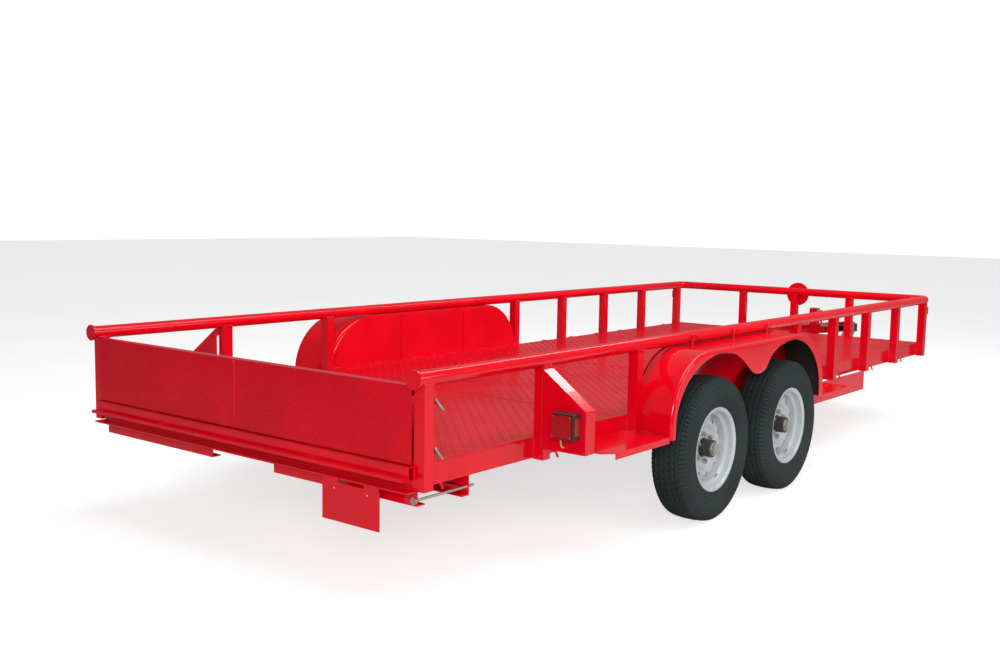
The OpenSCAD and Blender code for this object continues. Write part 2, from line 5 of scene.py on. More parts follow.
import bmesh
import bpy
import numpy as np
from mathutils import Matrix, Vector


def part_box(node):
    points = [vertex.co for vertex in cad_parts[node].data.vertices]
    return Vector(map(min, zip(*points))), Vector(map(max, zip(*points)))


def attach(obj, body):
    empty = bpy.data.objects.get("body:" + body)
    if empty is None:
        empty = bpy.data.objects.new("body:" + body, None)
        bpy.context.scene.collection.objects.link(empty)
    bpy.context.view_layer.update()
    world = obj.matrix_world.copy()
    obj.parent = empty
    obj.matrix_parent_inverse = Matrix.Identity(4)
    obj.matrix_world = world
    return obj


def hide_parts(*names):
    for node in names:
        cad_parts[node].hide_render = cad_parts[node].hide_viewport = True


bl_info = {
    "name": "Livestock trailer",
    "version": (1, 0, 0),
    "blender": (4, 5, 0),
    "location": "View3D > Sidebar > Trailer",
    "description": "Builds the visible surfaces of a tandem-axle livestock trailer on its fixed frame",
    "category": "Object",
}

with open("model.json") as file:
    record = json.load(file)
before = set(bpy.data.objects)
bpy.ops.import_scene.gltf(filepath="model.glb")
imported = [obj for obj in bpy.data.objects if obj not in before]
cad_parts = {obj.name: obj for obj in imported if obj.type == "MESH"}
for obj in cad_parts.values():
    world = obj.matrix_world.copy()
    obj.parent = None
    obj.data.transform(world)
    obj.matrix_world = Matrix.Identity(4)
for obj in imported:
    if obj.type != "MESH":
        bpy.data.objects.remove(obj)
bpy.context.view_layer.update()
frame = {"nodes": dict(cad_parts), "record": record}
NODES = frame["nodes"]
SLOT_OF = {s["node"]: s["material_slot"] for s in frame["record"]["subparts"]}
SIDES = ((-1, "left"), (1, "right"))


# ---- sizes and colours a user would change ---------------------------------


class PaintSettings(bpy.types.PropertyGroup):
    """Colours and wear of the painted steel."""

    red: bpy.props.FloatVectorProperty(
        name="Paint", description="Colour of the glossy frame paint",
        subtype="COLOR", size=3, min=0.0, max=1.0, default=(0.80, 0.0008, 0.013))
    deck_red: bpy.props.FloatVectorProperty(
        name="Tread plate paint", description="Colour of the paint on the deck and the tailgate",
        subtype="COLOR", size=3, min=0.0, max=1.0, default=(0.72, 0.0008, 0.013))
    # This amount also sets the painted sheen on level faces, which is drawn as pale dust.
    dust: bpy.props.FloatProperty(
        name="Dust", description="How much dust has settled on low and level faces",
        subtype="FACTOR", min=0.0, max=1.0, default=0.05)
    edge: bpy.props.FloatProperty(
        name="Edge radius", description="Width of the softened edge on tubes and beams",
        unit="LENGTH", min=0.0, max=0.01, default=0.0015)


class TyreSettings(bpy.types.PropertyGroup):
    """Sizes of the tyres."""

    tread_depth: bpy.props.FloatProperty(
        name="Tread depth", description="Depth of the zig-zag grooves",
        unit="LENGTH", min=0.002, max=0.012, default=0.0075)
    zigzags: bpy.props.IntProperty(
        name="Zig-zags", description="Zig-zags of a groove in one turn",
        min=24, max=96, default=64)
    lugs: bpy.props.IntProperty(
        name="Shoulder lugs", description="Transverse grooves round each shoulder",
        min=48, max=128, default=96)


class PlateSettings(bpy.types.PropertyGroup):
    """Raised lugs of the tread plate."""

    pitch: bpy.props.FloatProperty(
        name="Pitch", description="Distance between neighbouring lugs on the deck",
        unit="LENGTH", min=0.015, max=0.08, default=0.031)
    gate_pitch: bpy.props.FloatProperty(
        name="Gate pitch", description="Distance between neighbouring lugs on the tailgate",
        unit="LENGTH", min=0.01, max=0.06, default=0.021)
    height: bpy.props.FloatProperty(
        name="Lug height", description="How far a lug stands above the plate",
        unit="LENGTH", min=0.0004, max=0.003, default=0.0021)


class WeldSettings(bpy.types.PropertyGroup):
    """Size of the weld beads."""

    radius: bpy.props.FloatProperty(
        name="Bead radius", description="Half the width of a weld bead",
        unit="LENGTH", min=0.001, max=0.008, default=0.0036)
    ripple: bpy.props.FloatProperty(
        name="Ripple", description="Distance between the ripples of a bead",
        unit="LENGTH", min=0.002, max=0.01, default=0.0042)


class StageSettings(bpy.types.PropertyGroup):
    """Light and floor."""

    sky: bpy.props.FloatProperty(
        name="Surround", description="Brightness of the white surround", min=0.0, max=5.0, default=0.22)
    key: bpy.props.FloatProperty(
        name="Key light", description="Power of the large overhead light",
        unit="POWER", min=0.0, max=5000.0, default=330.0)
    fill: bpy.props.FloatProperty(
        name="Rear light", description="Power of the soft light on the tailgate",
        unit="POWER", min=0.0, max=5000.0, default=150.0)
    strip: bpy.props.FloatProperty(
        name="Strip light", description="Power of the narrow light that draws the highlights on the rails",
        unit="POWER", min=0.0, max=5000.0, default=55.0)


# ---- meshes ----------------------------------------------------------------


def grid_faces(nu, nv, wrap_u, wrap_v):
    """Corner indices of the quads of a grid of nu by nv points, joined round where it wraps."""
    i = np.arange(nu if wrap_u else nu - 1)[:, None]
    j = np.arange(nv if wrap_v else nv - 1)[None, :]
    i2, j2 = (i + 1) % nu, (j + 1) % nv
    corners = np.broadcast_arrays(i * nv + j, i2 * nv + j, i2 * nv + j2, i * nv + j2)
    return np.stack(corners, -1).reshape(-1, 4)


def make_object(name, points, faces, smooth=True, weld=False):
    """A mesh object from arrays of points and faces; weld joins doubled points and turns faces outwards."""
    mesh = bpy.data.meshes.new(name)
    mesh.from_pydata(np.asarray(points, float).reshape(-1, 3).tolist(), [], np.asarray(faces).tolist())
    if weld:
        bm = bmesh.new()
        bm.from_mesh(mesh)
        bmesh.ops.remove_doubles(bm, verts=bm.verts, dist=1e-6)
        bmesh.ops.recalc_face_normals(bm, faces=bm.faces)
        bm.to_mesh(mesh)
        bm.free()
    mesh.polygons.foreach_set("use_smooth", np.full(len(mesh.polygons), smooth))
    mesh.update()
    obj = bpy.data.objects.new(name, mesh)
    bpy.context.scene.collection.objects.link(obj)
    return obj


def dress(obj, body, material, slot, *nodes):
    """Gives a piece its material and its body, and hides the nodes that it stands for; slot is not used."""
    obj.data.materials.append(material)
    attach(obj, body)
    if nodes:
        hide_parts(*nodes)


def mirrored(points):
    """The same points on the left side: x changes its sign."""
    return points * np.array([-1.0, 1.0, 1.0])


def along(points, step):
    """The points of a polyline, respaced at equal steps of its own length."""
    points = np.asarray(points, float)
    s = np.concatenate([[0.0], np.cumsum(np.linalg.norm(np.diff(points, axis=0), axis=1))])
    t = np.linspace(0.0, s[-1], max(2, int(round(s[-1] / step)) + 1))
    return np.stack([np.interp(t, s, points[:, k]) for k in range(3)], 1), t


def tube(path, radius, sides, ref):
    """A closed round tube: each ring is path(t) + radius(t) (cos a B + sin a C), with B = T x ref and
    C = T x B, where T is the path's direction. Both ends close to a point."""
    t = np.gradient(path, axis=0)
    t /= np.linalg.norm(t, axis=1, keepdims=True)
    b = np.cross(t, np.broadcast_to(ref, t.shape))
    b /= np.linalg.norm(b, axis=1, keepdims=True)
    c = np.cross(t, b)
    path = np.concatenate([path[:1], path, path[-1:]])
    b, c = np.concatenate([b[:1], b, b[-1:]]), np.concatenate([c[:1], c, c[-1:]])
    r = np.concatenate([[0.0], np.broadcast_to(radius, (len(t),)), [0.0]])[:, None, None]
    a = np.linspace(0.0, 2 * np.pi, sides, endpoint=False)[None, :, None]
    return path[:, None] + r * (np.cos(a) * b[:, None] + np.sin(a) * c[:, None])


def join_grids(grids, wraps):
    """Puts several grids of points in one list of points and faces."""
    points, faces, start = [], [], 0
    for g, (wu, wv) in zip(grids, wraps):
        points.append(g.reshape(-1, 3))
        faces.append(grid_faces(g.shape[0], g.shape[1], wu, wv) + start)
        start += g.shape[0] * g.shape[1]
    return np.concatenate(points), np.concatenate(faces)


# ---- shader groups ---------------------------------------------------------


def new_group(name, inputs, outputs):
    """A shader group with float inputs {name: default} and outputs [name]."""
    g = bpy.data.node_groups.new(name, "ShaderNodeTree")
    for key, value in inputs.items():
        g.interface.new_socket(key, in_out="INPUT", socket_type="NodeSocketFloat").default_value = value
    for key in outputs:
        g.interface.new_socket(key, in_out="OUTPUT", socket_type="NodeSocketFloat")
    return g, g.nodes.new("NodeGroupInput"), g.nodes.new("NodeGroupOutput")


def math_node(tree, kind, a, b=None, c=None):
    """One Math node; each operand is a socket or a number."""
    n = tree.nodes.new("ShaderNodeMath")
    n.operation = kind
    for k, v in enumerate((a, b, c)):
        if v is None:
            continue
        if isinstance(v, (int, float)):
            n.inputs[k].default_value = v
        else:
            tree.links.new(v, n.inputs[k])
    return n.outputs[0]


def noise(tree, vector, scale, detail=3.0, stretch=None):
    """Noise on object coordinates; scale is a socket or a number, stretch scales each axis first."""
    if stretch:
        m = tree.nodes.new("ShaderNodeMapping")
        m.inputs["Scale"].default_value = stretch
        tree.links.new(vector, m.inputs["Vector"])
        vector = m.outputs[0]
    n = tree.nodes.new("ShaderNodeTexNoise")
    n.inputs["Detail"].default_value = detail
    tree.links.new(vector, n.inputs["Vector"])
    if isinstance(scale, (int, float)):
        n.inputs["Scale"].default_value = scale
    else:
        tree.links.new(scale, n.inputs["Scale"])
    return n.outputs["Fac"]


def ramp(tree, value, low, high):
    """0 below low, 1 above high, smooth between."""
    n = tree.nodes.new("ShaderNodeMapRange")
    n.interpolation_type = "SMOOTHSTEP"
    tree.links.new(value, n.inputs["Value"])
    for key, v in (("From Min", low), ("From Max", high)):
        if isinstance(v, (int, float)):
            n.inputs[key].default_value = v
        else:
            tree.links.new(v, n.inputs[key])
    return n.outputs["Result"]


def object_coordinates(tree):
    return tree.nodes.new("ShaderNodeTexCoord").outputs["Object"]


def build_groups():
    """The effects that several finishes share."""
    groups = {}
    g, i, o = new_group("sprayed_surface", {"Scale": 90.0}, ["Height", "Shade"])
    p = object_coordinates(g)
    fine = noise(g, p, i.outputs["Scale"], 2.0)
    g.links.new(fine, o.inputs["Height"])
    g.links.new(noise(g, p, 3.2, 4.0), o.inputs["Shade"])
    groups["spray"] = g

    g, i, o = new_group("settled_dust", {"Amount": 0.3, "Low": 0.2, "High": 0.9}, ["Mask"])
    p = object_coordinates(g)
    sep = g.nodes.new("ShaderNodeSeparateXYZ")
    g.links.new(p, sep.inputs[0])
    height = math_node(g, "SUBTRACT", 1.0, ramp(g, sep.outputs["Z"], i.outputs["Low"], i.outputs["High"]))
    nrm = g.nodes.new("ShaderNodeSeparateXYZ")
    g.links.new(g.nodes.new("ShaderNodeNewGeometry").outputs["Normal"], nrm.inputs[0])
    # Faces that look up get the pale mask as well: dust on them, and painted sheen, the reflection of level
    # faces drawn into the colour.
    level = ramp(g, nrm.outputs["Z"], 0.55, 0.98)
    where = math_node(g, "MAXIMUM", height, level)
    patch = ramp(g, noise(g, p, 5.5, 6.0), 0.38, 0.72)
    speck = ramp(g, noise(g, p, 160.0, 2.0), 0.35, 0.7)
    amount = math_node(g, "MULTIPLY", math_node(g, "MULTIPLY_ADD", patch, 0.7, 0.3), where)
    amount = math_node(g, "MULTIPLY", amount, math_node(g, "MULTIPLY_ADD", speck, 0.6, 0.4))
    g.links.new(math_node(g, "MULTIPLY", amount, i.outputs["Amount"]), o.inputs["Mask"])
    groups["dust"] = g

    g, i, o = new_group("handling_marks", {"Chips": 0.3, "Scuffs": 0.3}, ["Chip Mask", "Scuff Mask"])
    p = object_coordinates(g)
    v = g.nodes.new("ShaderNodeTexVoronoi")
    v.inputs["Scale"].default_value = 46.0
    g.links.new(p, v.inputs["Vector"])
    spot = math_node(g, "SUBTRACT", 1.0, ramp(g, v.outputs["Distance"], 0.05, 0.11))
    rare = ramp(g, noise(g, p, 7.0, 2.0), 0.58, 0.64)
    chip = math_node(g, "MULTIPLY", spot, rare)
    g.links.new(math_node(g, "MULTIPLY", chip, i.outputs["Chips"]), o.inputs["Chip Mask"])
    streak = ramp(g, noise(g, p, 11.0, 5.0, (1.0, 0.12, 1.0)), 0.45, 0.85)
    g.links.new(math_node(g, "MULTIPLY", streak, i.outputs["Scuffs"]), o.inputs["Scuff Mask"])
    groups["marks"] = g

    g, i, o = new_group("lens_prisms", {"Pitch": 0.004}, ["Height"])
    sep = g.nodes.new("ShaderNodeSeparateXYZ")
    g.links.new(object_coordinates(g), sep.inputs[0])
    k = math_node(g, "DIVIDE", 2 * math.pi, i.outputs["Pitch"])
    waves = [math_node(g, "SINE", math_node(g, "MULTIPLY", sep.outputs[a], k)) for a in ("X", "Y", "Z")]
    g.links.new(math_node(g, "ADD", math_node(g, "ADD", waves[0], waves[1]), waves[2]), o.inputs["Height"])
    groups["prisms"] = g
    return groups


def place(tree, group, **values):
    """Puts a shader group in a material with its own values."""
    n = tree.nodes.new("ShaderNodeGroup")
    n.node_tree = group
    for key, value in values.items():
        n.inputs[key.replace("_", " ")].default_value = value
    return n


def mix_colour(tree, factor, a, b):
    """Mixes two colours, each a socket or an RGB tuple."""
    n = tree.nodes.new("ShaderNodeMix")
    n.data_type = "RGBA"
    for socket, value in ((n.inputs[0], factor), (n.inputs[6], a), (n.inputs[7], b)):
        if isinstance(value, (int, float)):
            socket.default_value = value
        elif isinstance(value, (tuple, list)):
            socket.default_value = (*value[:3], 1.0)
        else:
            tree.links.new(value, socket)
    return n.outputs[2]


def start_material(name, **constants):
    """A material with one Principled shader and its constant sockets set."""
    m = bpy.data.materials.new(name)
    m.use_nodes = True
    bsdf = m.node_tree.nodes["Principled BSDF"]
    for key, value in constants.items():
        bsdf.inputs[key.replace("_", " ")].default_value = value
    return m, m.node_tree, bsdf


def bump(tree, bsdf, height, distance, strength=1.0, on=None):
    n = tree.nodes.new("ShaderNodeBump")
    n.inputs["Strength"].default_value = strength
    n.inputs["Distance"].default_value = distance
    tree.links.new(height, n.inputs["Height"])
    if on is not None:
        tree.links.new(on, n.inputs["Normal"])
    tree.links.new(n.outputs[0], bsdf.inputs["Normal"])
    return n.outputs[0]


def paint(name, groups, colour, dark, dust_colour, dust, chips, scuffs, rough, grain, coat=0.35):
    """Sprayed paint: colour drifts a little, scuffs dull it, chips go to primer and dust settles on it; on
    level faces the pale dust is also painted sheen.
    """
    m, t, bsdf = start_material(name, Coat_Weight=coat, Coat_Roughness=0.02, Specular_IOR_Level=0.2)
    spray = place(t, groups["spray"], Scale=grain)
    marks = place(t, groups["marks"], Chips=chips, Scuffs=scuffs)
    layer = place(t, groups["dust"], Amount=dust, Low=0.0, High=0.45)
    c = mix_colour(t, ramp(t, spray.outputs["Shade"], 0.3, 0.75), dark, colour)
    c = mix_colour(t, marks.outputs["Chip Mask"], c, (0.07, 0.05, 0.045))
    # Dust pales the colour, and on level faces this pale mix is also painted sheen.
    c = mix_colour(t, layer.outputs["Mask"], c, dust_colour)
    t.links.new(c, bsdf.inputs["Base Color"])
    r = math_node(t, "MULTIPLY_ADD", marks.outputs["Scuff Mask"], 0.35, rough)
    r = math_node(t, "MULTIPLY_ADD", layer.outputs["Mask"], 0.6, r)
    r = math_node(t, "MULTIPLY_ADD", marks.outputs["Chip Mask"], 0.3, r)
    t.links.new(r, bsdf.inputs["Roughness"])
    bump(t, bsdf, spray.outputs["Height"], 0.0006, 0.35)
    return m


def bare_metal(name, groups, colour, metallic, rough, grain, dust, depth):
    """Bare metal, rubber-like coating or plain plastic: grain in roughness and height, with dust in it, which
    on level faces is also painted sheen.
    """
    m, t, bsdf = start_material(name, Metallic=metallic)
    spray = place(t, groups["spray"], Scale=grain)
    layer = place(t, groups["dust"], Amount=dust, Low=0.15, High=0.8)
    dark = tuple(0.55 * v for v in colour)
    c = mix_colour(t, ramp(t, spray.outputs["Height"], 0.25, 0.7), dark, colour)
    t.links.new(mix_colour(t, layer.outputs["Mask"], c, (0.30, 0.27, 0.23)), bsdf.inputs["Base Color"])
    r = math_node(t, "MULTIPLY_ADD", spray.outputs["Shade"], 0.22, rough - 0.1)
    t.links.new(math_node(t, "MULTIPLY_ADD", layer.outputs["Mask"], 0.5, r), bsdf.inputs["Roughness"])
    bump(t, bsdf, spray.outputs["Height"], depth, 0.6)
    return m


def lens(name, groups, colour, pitch):
    """Moulded lens plastic over rows of small prisms."""
    m, t, bsdf = start_material(name, Coat_Weight=0.5, Coat_Roughness=0.03, Specular_IOR_Level=0.3)
    prisms = place(t, groups["prisms"], Pitch=pitch)
    layer = place(t, groups["dust"], Amount=0.05, Low=0.2, High=1.2)
    c = mix_colour(t, ramp(t, prisms.outputs["Height"], -1.4, 1.6), tuple(0.35 * v for v in colour), colour)
    t.links.new(mix_colour(t, layer.outputs["Mask"], c, (0.4, 0.3, 0.25)), bsdf.inputs["Base Color"])
    t.links.new(math_node(t, "MULTIPLY_ADD", layer.outputs["Mask"], 0.5, 0.12), bsdf.inputs["Roughness"])
    bump(t, bsdf, prisms.outputs["Height"], 0.0004, 0.8)
    return m


def build_materials():
    s = bpy.context.scene.trailer_paint
    g = build_groups()
    red, deck = tuple(s.red), tuple(s.deck_red)
    shade = lambda c, k: tuple(k * v for v in c)
    # Pale reddish dust on the paint; on level faces the same colour is painted sheen.
    dust = (0.40, 0.09, 0.07)
    mats = {
        "red_paint": paint("red_paint", g, red, shade(red, 0.86), dust, s.dust, 0.4, 0.15, 0.12, 120.0),
        # On the level deck this pale mask is painted sheen as well as dust.
        "red_tread": paint("red_tread", g, deck, shade(deck, 0.84), dust, 0.6 * s.dust, 0.5, 0.06, 0.2, 70.0,
                           0.08),
        "white_paint": paint("white_paint", g, (0.58, 0.61, 0.62), (0.44, 0.47, 0.49), (0.25, 0.24, 0.22),
                             0.16, 0.3, 0.2, 0.24, 140.0),
        "undercoat": bare_metal("undercoat", g, (0.022, 0.021, 0.022), 0.0, 0.7, 240.0, 0.3, 0.0012),
        "black_steel": bare_metal("black_steel", g, (0.018, 0.018, 0.02), 0.0, 0.42, 130.0, 0.35, 0.0005),
        "spring_steel": bare_metal("spring_steel", g, (0.035, 0.032, 0.03), 0.3, 0.6, 90.0, 0.5, 0.0008),
        "black_cast": bare_metal("black_cast", g, (0.014, 0.014, 0.015), 0.0, 0.45, 210.0, 0.3, 0.0009),
        "zinc": bare_metal("zinc", g, (0.62, 0.62, 0.58), 0.9, 0.36, 320.0, 0.2, 0.0002),
        "black_plastic": bare_metal("black_plastic", g, (0.012, 0.012, 0.013), 0.0, 0.4, 700.0, 0.25, 0.0003),
        "cream_insulation": bare_metal("cream_insulation", g, (0.62, 0.52, 0.36), 0.0, 0.55, 200.0, 0.3,
                                       0.0002),
        "red_lens": lens("red_lens", g, (0.62, 0.004, 0.008), 0.0046),
        "amber_lens": lens("amber_lens", g, (0.85, 0.22, 0.012), 0.004),
    }
    m, t, bsdf = start_material("tyre_rubber", Specular_IOR_Level=0.35)
    spray = place(t, g["spray"], Scale=420.0)
    layer = place(t, g["dust"], Amount=0.16, Low=0.0, High=0.6)
    c = mix_colour(t, ramp(t, spray.outputs["Shade"], 0.3, 0.7), (0.008, 0.016, 0.016), (0.016, 0.027, 0.026))
    t.links.new(mix_colour(t, layer.outputs["Mask"], c, (0.13, 0.125, 0.115)), bsdf.inputs["Base Color"])
    t.links.new(math_node(t, "MULTIPLY_ADD", spray.outputs["Height"], 0.25, 0.6), bsdf.inputs["Roughness"])
    bump(t, bsdf, spray.outputs["Height"], 0.0006, 0.5)
    mats["tyre_rubber"] = m
    m, t, bsdf = start_material("studio_floor")
    c = mix_colour(t, noise(t, object_coordinates(t), 1.5, 3.0), (0.54, 0.54, 0.54), (0.57, 0.57, 0.57))
    t.links.new(c, bsdf.inputs["Base Color"])
    t.links.new(c, bsdf.inputs["Emission Color"])
    seen = t.nodes.new("ShaderNodeLightPath").outputs["Is Camera Ray"]
    t.links.new(math_node(t, "MULTIPLY", seen, 1.25), bsdf.inputs["Emission Strength"])
    bsdf.inputs["Roughness"].default_value = 0.85
    mats["studio_floor"] = m
    return mats


def clean_edges_tree(angle):
    """Geometry nodes: joins doubled points, then shades smooth except across edges sharper than angle."""
    t = bpy.data.node_groups.new("clean_edges", "GeometryNodeTree")
    t.is_modifier = True
    t.interface.new_socket("Geometry", in_out="INPUT", socket_type="NodeSocketGeometry")
    t.interface.new_socket("Geometry", in_out="OUTPUT", socket_type="NodeSocketGeometry")
    n_in, n_out = t.nodes.new("NodeGroupInput"), t.nodes.new("NodeGroupOutput")
    drop = t.nodes.new("GeometryNodeRemoveAttribute")
    drop.inputs["Name"].default_value = "custom_normal"
    merge = t.nodes.new("GeometryNodeMergeByDistance")
    merge.inputs["Distance"].default_value = 0.00002
    faces = t.nodes.new("GeometryNodeSetShadeSmooth")
    edges = t.nodes.new("GeometryNodeSetShadeSmooth")
    edges.domain = "EDGE"
    edges.inputs["Shade Smooth"].default_value = False
    measure = t.nodes.new("GeometryNodeInputMeshEdgeAngle")
    over = t.nodes.new("FunctionNodeCompare")
    over.operation = "GREATER_THAN"
    over.inputs[1].default_value = angle
    t.links.new(measure.outputs["Unsigned Angle"], over.inputs[0])
    t.links.new(over.outputs[0], edges.inputs["Selection"])
    chain = (n_in.outputs[0], drop.inputs[0], drop.outputs[0], merge.inputs[0], merge.outputs[0],
             faces.inputs[0], faces.outputs[0], edges.inputs[0], edges.outputs[0], n_out.inputs[0])
    for k in range(0, len(chain), 2):
        t.links.new(chain[k], chain[k + 1])
    return t


MATERIALS = {}
SOFT_EDGED = ("side_beams rear_beam corner_posts side_posts front_posts steps front_skirts tail_brackets "
              "ramp_rail ramp_rack gate_frame tail_lamp_housings tail_lamp_lenses side_lenses "
              "marker_lamps tongue coupler_latch jack_crank rail_caps").split()


class TRAILER_OT_finishes(bpy.types.Operator):
    """Give every part of the frame its finish and soften the edges of tubes and plates"""

    bl_idname = "trailer.finishes"
    bl_label = "Finishes"

    def execute(self, context):
        MATERIALS.update(build_materials())
        tree = clean_edges_tree(math.radians(32))
        for name, obj in NODES.items():
            slot = obj.material_slots[0]
            slot.link = "OBJECT"
            slot.material = MATERIALS[SLOT_OF[name]]
            if name in SOFT_EDGED:
                mod = obj.modifiers.new("clean_edges", "NODES")
                mod.node_group = tree
                bev = obj.modifiers.new("soft_edge", "BEVEL")
                bev.limit_method = "ANGLE"
                bev.angle_limit = math.radians(32)
                bev.segments = 2
                bev.width = context.scene.trailer_paint.edge
                bev.harden_normals = True
        return {"FINISHED"}


# ---- tyres -----------------------------------------------------------------


TYRE_HALF = 0.0975
SHOULDER = TYRE_HALF - 0.027
CROWN_RADIUS, CROWN_FALL = 0.3558, 0.0062
# Grooves round the crown: (offset of the middle, width)
GROOVES = ((-0.0445, 0.0052), (-0.0150, 0.0060), (0.0150, 0.0060), (0.0445, 0.0052))
# Bead and side wall: (radius, offset), then (radius, depth below the widest offset)
BEAD = ((0.1910, 0.0500), (0.1910, 0.0707), (0.1997, 0.0757), (0.2074, 0.0757), (0.2075, 0.0805),
        (0.2120, 0.0840), (0.2160, 0.0868), (0.2200, 0.0862), (0.2240, 0.0885))
SIDE_WALL = ((0.2350, 0.0045), (0.2430, 0.0028), (0.2440, 0.0036), (0.2480, 0.0030), (0.2490, 0.0018),
             (0.2620, 0.0007), (0.2740, 0.0002), (0.2850, 0.0001), (0.2950, 0.0008), (0.3000, 0.0014),
             (0.3010, 0.0026), (0.3050, 0.0030), (0.3060, 0.0018), (0.3100, 0.0034), (0.3160, 0.0058),
             (0.3220, 0.0082), (0.3280, 0.0106), (0.3330, 0.0128), (0.3380, 0.0154), (0.3420, 0.0182),
             (0.3455, 0.0210), (0.3485, 0.0242))
# Inside of the carcass, from one bead to the other
CARCASS = ((0.2150, -0.0680), (0.2500, -0.0800), (0.3000, -0.0830), (0.3300, -0.0620), (0.3400, 0.0),
           (0.3300, 0.0620), (0.3000, 0.0830), (0.2500, 0.0800), (0.2150, 0.0680))


def triangle(angle):
    """A triangle wave between -1 and 1, with the sine's period."""
    turns = angle / (2 * np.pi)
    return 2 * np.abs(2 * (turns - np.floor(turns + 0.5))) - 1


def tyre_points(depth, zigzags, lugs):
    """One tyre about the X axis, outer side towards +X.

    The section is a closed line (radius, offset): bead, bulging side wall, shoulder, crown, and back inside.
    On the crown the radius drops by depth where the offset is near each groove's middle, which swings 3.6 mm
    by a triangle wave of the angle. On the shoulders it drops in lugs slots round the tyre, cut into the side
    wall too, and the ribs between the grooves have fine cuts.
    """
    wall = np.array(SIDE_WALL) * np.array([1.0, -1.0]) + np.array([0.0, TYRE_HALF])
    half = np.concatenate([np.array(BEAD), wall])
    crown = np.linspace(SHOULDER, -SHOULDER, 65)
    crown_r = CROWN_RADIUS - CROWN_FALL * (np.abs(crown) / SHOULDER) ** 2.6
    other = half[::-1] * np.array([1.0, -1.0])
    line = np.concatenate([half, np.stack([crown_r, crown], 1), other, np.array(CARCASS)])
    n = 768
    a = np.linspace(0, 2 * np.pi, n, endpoint=False)[:, None]
    r, z = line[:, 0][None, :], line[:, 1][None, :]
    outside = np.zeros(len(line))
    outside[len(half) - 10:len(half) + len(crown) + 10] = 1.0
    drop = np.zeros((n, len(line)))
    for z0, width in GROOVES:
        gap = np.abs(z - z0 - 0.0036 * triangle(zigzags * a + 60 * z0))
        drop = np.maximum(drop, np.clip(1 - (gap - 0.5 * width) / 0.0016, 0, 1) * (np.abs(z) < 0.062))
    slot = np.clip((np.cos(lugs * a + np.sign(z) * 0.6) - 0.45) / 0.25, 0, 1)
    shoulder = np.clip((np.abs(z) - 0.0590) / 0.003, 0, 1) * np.clip((r - 0.3215) / 0.006, 0, 1)
    drop = np.maximum(drop, 0.95 * slot * shoulder)
    sipe = np.clip((np.cos(zigzags * 2 * a + 90 * z) - 0.80) / 0.15, 0, 1)
    rib = np.clip((0.010 - np.abs(np.abs(z) - 0.030)) / 0.002, 0, 1)
    drop = np.maximum(drop, 0.28 * sipe * rib)
    r = r - depth * drop * outside[None, :]
    z = np.broadcast_to(z, r.shape)
    flank = np.clip((np.abs(z) - 0.070) / 0.004, 0, 1) * np.clip((r - 0.324) / 0.006, 0, 1)
    side = np.sign(z) * 0.0048 * slot * flank
    return np.stack([z - side * outside[None, :], r * np.cos(a), r * np.sin(a)], -1)


class TRAILER_OT_tyres(bpy.types.Operator):
    """Mould the four tyres with ribs, zig-zag grooves and shoulder lugs"""

    bl_idname = "trailer.tyres"
    bl_label = "Tyres"

    def execute(self, context):
        s = context.scene.trailer_tyre
        p = tyre_points(s.tread_depth, s.zigzags, s.lugs)
        faces = grid_faces(p.shape[0], p.shape[1], True, True)
        for end, turn in (("rear", 0.0), ("front", 0.4)):
            for sign, side in SIDES:
                node = f"tyre_{end}_{side}"
                lo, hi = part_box(node)
                centre = np.array([(lo[k] + hi[k]) / 2 for k in range(3)])
                c, q = math.cos(turn), math.sin(turn)
                turned = p @ np.array([[1, 0, 0], [0, c, q], [0, -q, c]])
                points = turned * np.array([sign, 1, 1]) + centre
                obj = make_object(f"moulded_{node}", points, faces, weld=True)
                dress(obj, f"wheel_{end}_{side}", MATERIALS["tyre_rubber"], "tyre_rubber", node)
        return {"FINISHED"}


# ---- fenders ---------------------------------------------------------------

# Distances along the bed are written from its rear end, which is this far behind the origin
Y_MID = 3.455
FEND_Y0, FEND_Y1, FEND_Z, FEND_X = 1.443, 3.150, 0.852, 1.278
# The inner wall: its ends along the bed and its outer face
WALL_Y0, WALL_Y1, WALL_X = 1.5244, 3.2406, 1.024
# Lower end of the sheet, height where its shoulders start, and their length along the bed
HEM_Z, SPRING_Z, SHOULDER_Y = 0.474, 0.530, 0.330
# Middles and half-lengths of the two arches, and how far they rise above the spring line
ARCH_REAR, ARCH_REAR_A, ARCH_REAR_B = 1.905, 0.427, 0.304
ARCH_FRONT, ARCH_FRONT_A, ARCH_FRONT_B = 2.690, 0.400, 0.306
# Edge of the lobe between the arches, along the bed and up
LOBE_Y = (1.905, 1.980, 2.045, 2.125, 2.175, 2.210, 2.250, 2.310,
          2.370, 2.395, 2.420, 2.445, 2.485, 2.545, 2.615, 2.690)
LOBE_Z = (0.834, 0.829, 0.815, 0.780, 0.748, 0.722, 0.700, 0.690,
          0.700, 0.715, 0.742, 0.768, 0.790, 0.813, 0.830, 0.836)


